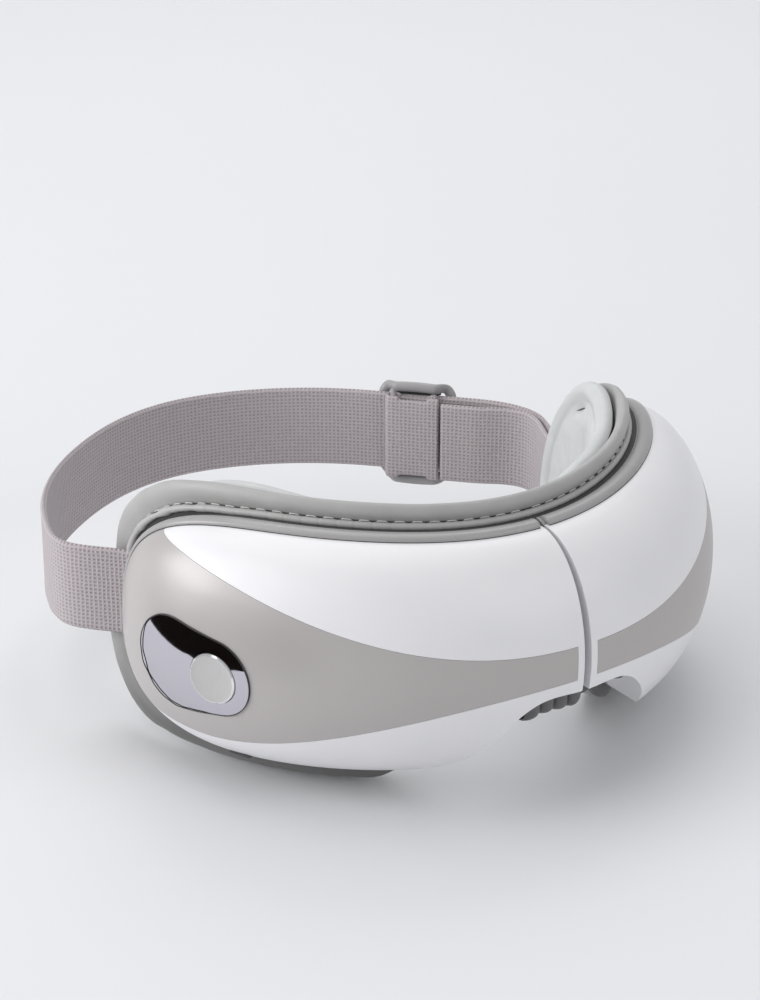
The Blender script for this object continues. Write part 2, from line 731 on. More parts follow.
PAD_CHEEK = ((0, 11.9), (52, 11.9), (64, 10.2), (75, 8.0), (82, 5.6), (86, 4.4), (90, 4.2))

# Height over which the sizes of brow and cheek run into each other at the temple
TEMPLE_BLEND = 0.012

# Share of the arch at which the bolster starts to thin, its level, and where its spread begins
CREST_ARCH_START, BOLSTER_LEVEL, SPREAD_FADE = 0.12, -0.0085, 0.007

# Unevenness of the soft pieces: pitch, seed, depth
BOLSTER_SLACK = ((0.022, 0.0, 0.00022), (0.007, 3.0, 0.00006))
PAD_CREASES = ((0.011, 2.0, 0.0008), (0.0045, 5.0, 0.0003))
NOSE_CREASES = ((0.010, 7.0, 0.0004),)

# The bolster's roll is pushed forward under the right cheek, from this oval angle over this span
CHEEK_PUSH, CHEEK_PUSH_ANGLE, CHEEK_PUSH_SPAN = 0.0028, math.radians(68), math.radians(15)
CHEEK_PUSH_RISE = 0.004

# The hem: its way in over the arch, the oval angles where it gathers, size and pitch of the gathers
HEM_ARCH_SINK = 0.0018
GATHER_ANGLE, GATHER_SPAN = math.radians(62), math.radians(16)
GATHER_SIZE, GATHER_PITCH = 0.5, 0.0040

# Its swell, and how far and how widely it is drawn in at the needle holes, in hem radii and pitches
HEM_SWELL, HOLE_PULL, HOLE_WIDTH = 0.03, 0.09, 0.07

# A stitch: start and needle hole in pitches, place out of and behind the hem in hem radii, mesh
STITCH_START, STITCH_HOLE = 0.2, 0.07
STITCH_PLACE = (1.08, -0.5)
STITCH_RINGS, STITCH_SIDES = 7, 6

# The shaded underside: front level, depth, gap to the solid rim's crown, and its tuck under the hem
SHADE_FRONT, SHADE_DEPTH, SHADE_GAP, SHADE_TUCK = -0.0040, 0.0037, 0.00008, 0.0003
RIM_CROWN, RIM_HALF_DEPTH = 0.0011, 0.0041

# The crease behind the hem: place in hem radii, radius
CREASE_PLACE, CREASE_RADIUS = (0.86, -0.6), 0.00034

# The soft pieces keep this far off the floor
FLOOR_CLEARANCE, PAD_FLOOR_CLEARANCE = 0.0002, 0.0004

# The eye pad: oval angle where it starts beside the nose, swell of its panel, rings of its roll and panel
PAD_NOSE_ANGLE = math.radians(13)
PAD_PUFF, PUFF_RISE, PUFF_FLATTENING = 0.0030, 4.5, 0.25
ROLL_RINGS, PANEL_RINGS = 19, 33

# The roll: its start and end in half turns, its width and depth in roll radii, its place on the arch
ROLL_TURN, ROLL_WIDE, ROLL_DEEP = (-0.27, 0.74), 1.15, 1.05
PAD_ARCH_CREST = -0.0009

# The shade round the pad: level from the pad's edge, share of the way to its middle height
PAD_SHADE_ROWS = ((0.0024, 0.09), (0.0009, 0.055), (-0.0004, 0.03))

# The short fold in the pad: its oval angle, height, and way down towards the temple
FOLD_ANGLE, FOLD_HEIGHT = math.radians(70), 0.0842
FOLD_WAY = np.array([math.cos(0.47), -math.sin(0.47)])
FOLD_DEPTH, FOLD_REACH, FOLD_WIDTH = 0.0026, 0.0055, 0.0010
FOLD_SHADE_REACH, FOLD_SHADE_WIDTH, FOLD_SHADE_LIFT = 0.0042, 0.00042, 0.0007

# The soft panel across the nose: half span, level of its edge, crown, rise over the arch and the top
NOSE_PANEL_REACH, NOSE_PANEL_LEVEL, NOSE_PANEL_CROWN = math.radians(17), -0.0112, 0.0034
NOSE_PANEL_LOW, NOSE_PANEL_HIGH = 0.001, 0.003

# The strap's way out at the temple: out of the edge line, behind the rim line, in millimetres
STRAP_COURSE = ((-10, -9.3), (0, -9.3), (10, -4.5), (15, -1.0), (26, 7.0))

# The padding is pressed in behind the strap from this oval angle on, with this gap
PRESS_ANGLE, PRESS_GAP = math.radians(70), 0.0004

# Room for the anchor plate, where it ends and fades, and the squeeze of the left run's two layers
ANCHOR_ROOM, ANCHOR_END, ANCHOR_FADE, LAYER_SQUEEZE = 0.0024, 0.005, 0.003, 0.0007

# Above and below the strap the padding is free again: start, span, how far
FREE_START, FREE_SPAN, FREE_ROOM = 0.0006, 0.005, 0.02


def at_angle(table, angle):
    """Metres at an oval angle, from a table."""
    degrees, sizes = zip(*table)
    return np.interp(np.degrees(np.abs(angle)), degrees, sizes) * MM


def upper_share(loop):
    """1 on the brow side of the temple, 0 on the cheek side."""
    return smooth_step((loop.height - settings().body.temple_height) / TEMPLE_BLEND + 0.5)


def crest_height(loop):
    """How far the bolster stands out of the shell's edge. The left one is drawn in by its strap."""
    share = upper_share(loop)
    tall = at_angle(BROW_CREST, loop.angle) * share + at_angle(CHEEK_CREST, loop.angle) * (1 - share)
    tall = np.where(loop.angle > 0, at_angle(LEFT_CREST, loop.angle), tall)
    arch = arch_share(loop, CREST_ARCH_START)
    return tall * (1 - arch) + settings().padding.arch_crest * arch


def spread(loop):
    """How far the right padding is drawn out past the shell's edge towards the temple tip."""
    share = upper_share(loop)
    drawn = at_angle(BROW_SPREAD, loop.angle) * share + at_angle(CHEEK_SPREAD, loop.angle) * (1 - share)
    return np.where(loop.angle > 0, 0.0, drawn) * (1 - arch_share(loop))


def behind_strap(angle, height, outward, level, room=0.0):
    """The level, pressed in behind the strap where that leaves the temple."""
    strap = settings().strap
    out, behind = np.array(STRAP_COURSE).T * MM
    free = smooth_step((np.abs(height - strap.height) - strap.width / 2 - FREE_START) / FREE_SPAN)
    layers = np.where(angle > 0, 2 * strap.thickness - LAYER_SQUEEZE, strap.thickness / 2)
    anchor = ANCHOR_ROOM * smooth_step((ANCHOR_END - outward) / ANCHOR_FADE)
    limit = np.interp(outward, out, behind) - layers - anchor - PRESS_GAP - room + FREE_ROOM * free
    return np.where(np.abs(angle) > PRESS_ANGLE, np.minimum(level, limit), level)


def tucked(loop, outward, level, room=0.0):
    """The same for points beside a loop."""
    extra = (slice(None),) + (None,) * (np.ndim(outward) - 1)
    height = loop.height[extra] + outward * loop.up[extra]
    return behind_strap(loop.angle[extra], height, outward, level, room)


class MASSAGER_OT_bolster(bpy.types.Operator):
    """Build the padded leather bolster with its piped hem and stitches"""
    bl_idname = "massager.bolster"
    bl_label = "Bolster"

    def execute(self, context):
        padding = settings().padding
        body = wrap()
        skin = leather("Bolster Leather", settings().finish.bolster, 0.46, 0.0007, 0.00006, 0.36)
        loop = body.whole_loop(BOLSTER_LEVEL, 520)
        section = closed_curve(np.array(BOLSTER_SECTION), 56) * MM
        level, outward = section[None, :, 0], section[None, :, 1]
        crest = crest_height(loop)
        tall = np.where(outward > 0, outward * crest[:, None] / section[:, 1].max(), outward)
        cheek = smooth_step((-loop.angle - CHEEK_PUSH_ANGLE) / CHEEK_PUSH_SPAN) * (1 - upper_share(loop))
        level = level + CHEEK_PUSH * cheek[:, None] * smooth_step(outward / CHEEK_PUSH_RISE)
        outward = tall + spread(loop)[:, None] * smooth_step(outward / SPREAD_FADE + 1)
        level = tucked(loop, outward, level)
        points = body.around(loop, outward, level)
        slack = rumpled(points, BOLSTER_SLACK)
        points = body.around(loop, outward + slack, level + slack)
        points[..., 2] = np.maximum(points[..., 2], FLOOR_CLEARANCE)
        faces = grid_faces(*points.shape[:2], True, True)
        bolster = cross_nose(new_piece("face_bolster", points, faces, skin))
        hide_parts("right_face_cushion", "left_face_cushion", "cushion_bridge")
        seam = self.seam(body, padding)
        self.hem(body, padding, *seam)
        self.gap(body, padding, *seam[:3])
        self.stitches(body, padding, *seam)
        return {"FINISHED"}

    def seam(self, body, padding):
        """Middle of the hem: its loop, place, level and the length run so far."""
        loop = body.whole_loop(padding.hem_level, 1100)
        place = padding.hem_out + spread(loop) - HEM_ARCH_SINK * arch_share(loop)
        level = tucked(loop, place, np.full(len(place), padding.hem_level), padding.hem_radius)
        return loop, place, level, run_length(body.around(loop, place, level))

    def hem(self, body, padding, loop, place, level, reach):
        """The piped edge of the cover, drawn in at the needle holes and gathered round the temples."""
        skin = leather("Hem Leather", np.array(settings().finish.bolster) * 1.1, 0.42, 0.0006, 0.00005)
        gather = smooth_step((np.abs(loop.angle) - GATHER_ANGLE) / GATHER_SPAN)
        from_hole = (reach / padding.stitch_pitch + (0.5 - STITCH_HOLE)) % 1 - 0.5
        lump = HEM_SWELL - HOLE_PULL * np.exp(-(from_hole / HOLE_WIDTH) ** 2)
        lump = lump + gather * GATHER_SIZE * ripple(body.around(loop, place, level), GATHER_PITCH, 9.0)
        points = piping(body, loop, place, level, padding.hem_radius * (1 + lump), 14)
        faces = grid_faces(*points.shape[:2], True, True)
        hem = cross_nose(new_piece("bolster_hem", points, faces, skin))

    def gap(self, body, padding, loop, place, level):
        """The shaded underside of the cover between the rim and the hem."""
        shade = leather("Hem Shade", settings().finish.joint, 0.7, 0.0006, 0.00004)
        share = np.linspace(0, 1, 8)[None, :]
        depth = SHADE_FRONT - SHADE_DEPTH * share
        crown = RIM_CROWN * (1 - ((depth + RIM_HALF_DEPTH) / RIM_HALF_DEPTH) ** 2) + SHADE_GAP
        outward = crown + (place[:, None] - SHADE_TUCK - crown) * smooth_step((share - 0.3) / 0.7)
        points = body.around(loop, outward, tucked(loop, outward, np.broadcast_to(depth, outward.shape)))
        faces = grid_faces(*points.shape[:2], True, False)
        shadow = cross_nose(new_piece("hem_shade", points, faces, shade))
        radius = padding.hem_radius
        place, level = place + CREASE_PLACE[0] * radius, level + CREASE_PLACE[1] * radius
        points = piping(body, loop, place, level, CREASE_RADIUS, 8)
        faces = grid_faces(*points.shape[:2], True, True)
        crease = cross_nose(new_piece("hem_crease", points, faces, shade))

    def stitches(self, body, padding, loop, place, level, reach):
        """Long machine stitches where the hem meets the bolster."""
        thread = Finish("Stitch Thread", np.array(settings().finish.bolster) * 1.55, 0.7)
        thread.bump(thread.noise(0.0004), 0.5, 0.0001)
        thread.mottle(thread.noise(0.0008), 0.85)
        place = place + STITCH_PLACE[0] * padding.hem_radius
        level = level + STITCH_PLACE[1] * padding.hem_radius
        line = body.around(loop, place, level)
        outer = body.around(loop, place + 0.001, level)
        front = body.around(loop, place, level + 0.001)
        turns = full_turn(STITCH_SIDES)[None, :, None]
        share = np.linspace(-1, 1, STITCH_RINGS)
        thick = padding.thread * np.sqrt(np.clip(1.06 - share ** 4, 0.05, 1))
        lift = 0.0002 - 0.0005 * share ** 4
        points, faces = [], []
        for index in range(int(reach[-1] / padding.stitch_pitch)):
            start = (index + STITCH_START) * padding.stitch_pitch
            along = start + padding.stitch_length * np.linspace(0, 1, STITCH_RINGS)
            if np.interp(along[STITCH_RINGS // 2], reach, loop.arch) > 0.02:
                continue
            up = unit(sampled(outer - line, reach, along))
            out = unit(sampled(front - line, reach, along))
            spine = sampled(line, reach, along) + (up + 0.5 * out) * lift[:, None]
            circle = np.cos(turns) * up[:, None] + np.sin(turns) * out[:, None]
            ring = spine[:, None] + thick[:, None, None] * circle
            base = len(points) * STITCH_RINGS * STITCH_SIDES
            faces += shifted(tube_faces(STITCH_RINGS, STITCH_SIDES), base)
            points.append(ring.reshape(-1, 3))
        seam = cross_nose(new_piece("bolster_stitches", np.concatenate(points), faces, thread.material))


class MASSAGER_OT_eye_pads(bpy.types.Operator):
    """Build the two soft eye pads, with their rolled edge and creased panel, and the nose panel"""
    bl_idname = "massager.eye_pads"
    bl_label = "Eye pads"

    def execute(self, context):
        body = wrap()
        skin = leather("Pad Leather", settings().finish.pad, 0.46, 0.0009, 0.00005)
        for side_name, sign in SIDES:
            pad = self.pad(body, side_name, sign, skin)
            ride_half(pad, side_name)
            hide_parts(f"{side_name}_eye_pad")
        self.nose_panel(body, skin)
        return {"FINISHED"}

    def outline(self, body, padding):
        """Outer line of the pad unrolled: along the wrap, height, and its distance out of the edge."""
        loop = body.half_loop(padding.pad_level, 400)
        low = loop.height < settings().body.temple_height
        crest = np.where(low, at_angle(PAD_CHEEK, loop.angle), at_angle(PAD_BROW, loop.angle))
        crest += (PAD_ARCH_CREST - crest) * arch_share(loop)
        angle = loop.angle + crest * loop.across / loop.radius
        height = loop.height + crest * loop.up
        scale = float(np.mean(loop.radius))
        line = np.stack([angle * scale, height, crest], axis=1)[angle > PAD_NOSE_ANGLE]
        line = evenly(np.concatenate([line, line[:1]]), 261)[:-1]
        for _ in range(40):
            line = (np.roll(line, 1, 0) + 2 * line + np.roll(line, -1, 0)) / 4
        return line[:, :2], line[:, 2], scale

    def pad(self, body, side_name, sign, skin):
        padding = settings().padding
        line, crest, scale = self.outline(body, padding)
        inward = beside(np.roll(line, -1, 0) - np.roll(line, 1, 0))
        center = line.mean(0)
        rings, levels, outs = [], [], []
        roll = padding.roll
        for bend in np.linspace(*ROLL_TURN, ROLL_RINGS) * np.pi:
            step = ROLL_WIDE * roll * (1 - math.cos(bend))
            rings.append(line + inward * step)
            levels.append(np.full(len(line), padding.pad_level - ROLL_DEEP * roll * math.sin(bend)))
            outs.append(crest - step)
        edge = rings[-1]
        depth = levels[-1][0]
        for share in np.linspace(0, 1, PANEL_RINGS + 1)[1:]:
            rings.append(center + (edge - center) * (1 - share))
            puff = PAD_PUFF * (1 - (1 - min(share * PUFF_RISE, 1)) ** 2) * (1 - PUFF_FLATTENING * share)
            levels.append(np.full(len(line), depth - puff))
            outs.append(np.full(len(line), -0.02))
        rings, levels, outs = np.array(rings), np.array(levels), np.array(outs)
        flat = np.concatenate([rings, np.zeros_like(rings[..., :1])], axis=-1)
        creases = rumpled(flat, PAD_CREASES, sign)
        share = np.concatenate([np.full(ROLL_RINGS, 0.2), np.linspace(1.0, 0.7, PANEL_RINGS)])[:, None]
        levels = levels - creases * share + self.pinch(rings, scale)
        turned = sign * rings[..., 0] / scale
        levels = behind_strap(turned, rings[..., 1], outs, levels)
        points = body.point(turned, levels, rings[..., 1])
        points[..., 2] = np.maximum(points[..., 2], PAD_FLOOR_CLEARANCE)
        faces = grid_faces(*points.shape[:2], False, True)
        self.gap(body, side_name, turned[0], levels[0], points[0, :, 2])
        self.fold(body, side_name, rings, levels, turned, scale)
        return new_piece(f"{side_name}_eye_cushion", points, faces, skin)

    def gap(self, body, side_name, turned, level, height):
        """The shade in the gap between the pad and the bolster."""
        shade = moulded("Pad Shade", settings().finish.joint, 0.8)
        middle = height.mean()
        points = np.array([body.point(turned, level + step, height + (middle - height) * fall)
                           for step, fall in PAD_SHADE_ROWS])
        faces = grid_faces(*points.shape[:2], False, True)
        strip = new_piece(f"{side_name}_pad_shade", points, faces, shade)
        ride_half(strip, side_name)

    @staticmethod
    def pinch(rings, scale):
        """Depth of the short fold pinched into the panel under the brow end of the roll."""
        off = rings - np.array([FOLD_ANGLE * scale, FOLD_HEIGHT])
        along, across = off @ FOLD_WAY, off @ np.array([-FOLD_WAY[1], FOLD_WAY[0]])
        return FOLD_DEPTH * np.exp(-(along / FOLD_REACH) ** 4 - (across / FOLD_WIDTH) ** 2)

    def fold(self, body, side_name, rings, levels, turned, scale):
        """The shade in the depth of that fold."""
        shade = moulded("Fold Shade", np.array(settings().finish.joint) * 2.5, 0.8)
        share = np.linspace(-1, 1, 15)
        spots = np.array([FOLD_ANGLE * scale, FOLD_HEIGHT]) + FOLD_SHADE_REACH * share[:, None] * FOLD_WAY
        near = np.linalg.norm(rings[None] - spots[:, None, None], axis=3).reshape(len(share), -1).argmin(1)
        level = levels.reshape(-1)[near]
        level = np.convolve(np.pad(level, 2, mode="edge"), np.full(5, 0.2), "valid") - FOLD_SHADE_LIFT
        angle = np.sign(turned[0, 0]) * spots[:, 0] / scale
        wide = FOLD_SHADE_WIDTH * (1 - share ** 2)
        points = np.array([body.point(angle, level, spots[:, 1] + step * wide) for step in (-1, 0, 1)])
        strip = new_piece(f"{side_name}_pad_fold", points, grid_faces(*points.shape[:2]), shade)
        ride_half(strip, side_name)

    def nose_panel(self, body, skin):
        """Soft panel across the nose between the two pads."""
        reach = NOSE_PANEL_REACH
        angle = np.linspace(-reach, reach, 61)[None, :]
        share = np.linspace(0, 1, 40)[:, None]
        x = np.abs(body.point(angle, -0.012, 0)[..., 0])
        low = np.interp(x, body.arch_line[:, 0], body.arch_line[:, 1]) + NOSE_PANEL_LOW
        high = settings().body.top + NOSE_PANEL_HIGH
        height = low + (high - low) * share
        crown = np.sin(np.pi * share) ** 0.5 * (1 - 0.25 * np.cos(np.pi * angle / reach))
        level = NOSE_PANEL_LEVEL - NOSE_PANEL_CROWN * crown
        points = body.point(angle, level, height)
        level = level - rumpled(points, NOSE_CREASES)
        points = body.point(angle, level, height)
        panel = new_piece("nose_panel", points, grid_faces(*points.shape[:2]), skin)
        cross_nose(panel)


# The pleated skin: half span, number of pleats, and its section back from the front edge, in millimetres
GUSSET_REACH, GUSSET_PLEATS = 0.0185, 7
GUSSET_SECTION = ((0.0, 0.0), (0.2, -3.0), (0.6, -6.2), (2.4, -7.7), (12.0, -6.8))
GUSSET_REAR_DEPTH = -5.6
PLEAT_DEPTH, PLEAT_FORM = 0.0024, 0.45

# It hangs less deep on the left: least share, where that ends, and over what span
LEFT_HANG, LEFT_HANG_END, LEFT_HANG_SPAN = 0.35, 0.007, 0.008


class MASSAGER_OT_nose_gusset(bpy.types.Operator):
    """Build the dark pleated skin that lines the nose arch"""
    bl_idname = "massager.nose_gusset"
    bl_label = "Nose gusset"

    def execute(self, context):
        body = wrap()
        skin = leather("Gusset Skin", settings().finish.gusset, 0.5, 0.0006, 0.00004)
        low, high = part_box("nose_gusset")
        front, rear = low[1] - 0.0004, high[1]
        reach = GUSSET_REACH
        x = np.linspace(-reach, reach, 241)[None, :]
        roof = np.interp(np.abs(x), body.arch_line[:, 0], body.arch_line[:, 1]) - 0.0003
        wave = np.abs(np.sin(x / reach * np.pi * GUSSET_PLEATS / 2 + np.pi / 2)) ** PLEAT_FORM
        rear_edge = (rear - front, GUSSET_REAR_DEPTH * MM)
        section = curve_through([*np.array(GUSSET_SECTION) * MM, rear_edge], 30)
        hung = LEFT_HANG + (1 - LEFT_HANG) * smooth_step((LEFT_HANG_END - x) / LEFT_HANG_SPAN)
        deep = section[:, 1][:, None] * hung
        hang = smooth_step(-deep / 0.003)
        y = front + section[:, 0][:, None] + PLEAT_DEPTH * (1 - wave) * hang
        z = roof + deep * (0.95 + 0.05 * wave) * (1 - 0.10 * (x / reach) ** 2)
        under = np.stack(np.broadcast_arrays(x, y, z), axis=-1)
        lid = np.stack(np.broadcast_arrays(x, np.linspace(rear, front, 8)[:, None], roof), axis=-1)
        points = np.concatenate([under, lid])
        faces = grid_faces(*points.shape[:2], True, False)
        gusset = cross_nose(new_piece("nose_pleats", points, faces, skin))
        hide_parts("nose_gusset")
        return {"FINISHED"}


# Strap

# The strap's loop in plan, as shares of the half width and of the loop's reach behind the temples
LOOP_RIGHT = ((-1.08, 0.24), (-1.055, 0.37), (-0.975, 0.52), (-0.83, 0.69), (-0.61, 0.85),
              (-0.37, 0.96), (-0.13, 1.0), (0.10, 0.97), (0.33, 0.885))
STRAIGHT = ((0.571, 0.727), (0.871, 0.459))
LOOP_LEFT = ((0.965, 0.345), (0.99, 0.22))
LOOP_REACH = 0.110
LOOP_LEAD = 0.0075
ANCHOR_TURN = math.radians(5)

# The strap's ends: level of the rim's back, gap to it, and how far the tip lies past the shell's
RIM_BACK, ANCHOR_GAP = -0.0082, 0.00012
TIP_TURN = 0.0011 / 0.09645

# Points across one face of the strap, the width of its rounded edge, and its thicker selvage
BAND_POINTS = 27
EDGE_ROUND, SELVAGE_PLACE, SELVAGE_WIDTH = 0.0011, 0.0013, 0.0006

# The return layer: gap to the strap, where and over what length it comes down to it, how much thinner it is
LAYER_GAP, RETURN_FALL, RETURN_FALL_SPAN, RETURN_THINNING = 0.0003, 0.011, 0.026, 0.0002


def strap_line():
    """Middle of the strap in plan, from the right temple round the back to the left temple."""
    body = wrap()
    rim_back = RIM_BACK - ANCHOR_GAP - settings().strap.thickness / 2
    tip = settings().body.tip_angle + TIP_TURN
    tip_y = float(body.point(np.array(tip), 0.0, 0)[1])
    ends = body.point(np.array([tip - ANCHOR_TURN, tip - ANCHOR_TURN / 2, tip]), rim_back, 0)[:, :2]

    def shared(points):
        return np.array([(x * settings().body.half_width, tip_y + y * LOOP_REACH) for x, y in points])

    first, second = shared(STRAIGHT)
    way = (second - first) / np.linalg.norm(second - first)
    right_end = ends * np.array([-1, 1])
    points = np.concatenate([right_end, shared(LOOP_RIGHT), [first, first + way * LOOP_LEAD],
                             [second - way * LOOP_LEAD, second], shared(LOOP_LEFT), ends[::-1]])
    return points, first, second, way


def ribbon(line, middle, thickness, name, finish):
    """A flat band that stands on edge beside a line in plan, with rounded selvages."""
    strap = settings().strap
    side = beside(np.gradient(line, axis=0))
    line = line + side * np.broadcast_to(middle, len(line))[:, None]
    reach = run_length(line)
    half, thick = strap.width / 2, thickness / 2
    one_way = np.linspace(-1, 1, BAND_POINTS)
    across = np.concatenate([one_way, one_way[::-1]])
    face = np.repeat([1.0, -1.0], BAND_POINTS)
    from_edge = (1 - np.abs(across)) * half
    face = face * (0.25 + 0.75 * np.sqrt(1 - (1 - np.clip(from_edge / EDGE_ROUND, 0, 1)) ** 2))
    face = face * (0.94 + 0.12 * np.exp(-((from_edge - SELVAGE_PLACE) / SELVAGE_WIDTH) ** 2))
    plan = line[:, None] + side[:, None] * (face * thick)[None, :, None]
    tall = np.broadcast_to(across * half, plan.shape[:2])
    points = np.concatenate([plan, strap.height + tall[..., None]], axis=-1)
    uv = np.stack(np.broadcast_arrays(reach[:, None], tall), axis=-1)
    return new_piece(name, points, tube_faces(*points.shape[:2]), finish, uv)


class MASSAGER_OT_strap(bpy.types.Operator):
    """Build the woven elastic strap and its return layer"""
    bl_idname = "massager.strap"
    bl_label = "Strap"

    def execute(self, context):
        strap = settings().strap
        web = woven("Strap Webbing", settings().finish.strap, strap.weave)
        points, first, second, way = strap_line()
        line = curve_through(points, 380)
        band = ribbon(line, 0.0, strap.thickness, "strap_band", web)
        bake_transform(band)
        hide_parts("strap_right_run", "strap_rear_run", "strap_left_run")
        self.return_layer(strap, web, line, (first + second) / 2, way)
        return {"FINISHED"}

    def return_layer(self, strap, web, line, slider, way):
        """The strap's free end, which lies over the slider and then inside the left run."""
        past = (line - slider) @ way
        behind = np.linalg.norm(line - slider, axis=1)
        start = int(np.argmax((past > strap.return_start) & (behind < 0.02)))
        run = line[start:]
        resting = strap.thickness + LAYER_GAP
        fall = smooth_step((run_length(run) - RETURN_FALL) / RETURN_FALL_SPAN)
        middle = strap.return_lift + (resting - strap.return_lift) * fall
        layer = ribbon(run, middle, strap.thickness - RETURN_THINNING, "strap_return", web)
        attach(layer, LEFT_BODY)
        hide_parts("strap_return_layer")


# The slider ring: half sizes of its bars, and how far their middle is inside the ring's length
BAR_OUTWARD, BAR_INWARD, RING_INSET = 0.0019, 0.0014, 0.0015

# Its corner radius, its rails over the strap's edge, and their bow
SLIDER_CORNER, RAIL_CLEARANCE, RAIL_BOW = 0.0046, 0.0024, 0.0009

# The bar for the sewn loop: its radius, and half the stretch that stays straight
LOOP_BAR_RADIUS, LOOP_BAR_STRAIGHT = 0.0011, 0.0138

# The shaded strip between a rail and the strap: half length, gap to the strap, way behind the rail
WEB_HALF, WEB_GAP, WEB_SETBACK = 0.0092, 0.0002, 0.0003

# The loop round that bar: radius, half thickness, where its two leaves end, points across one face
LOOP_RADIUS, LOOP_THICK = 0.0020, 0.00055
INNER_LEAF, OUTER_LEAF = 0.0095, 0.0080
LEAF_POINTS = 21

# The leaf is narrower between the slider's side bars, up to this far from the middle
LEAF_NARROW, LEAF_FLARE, LEAF_FLARE_START, LEAF_FLARE_SPAN = 0.0002, 0.0013, 0.0048, 0.0012


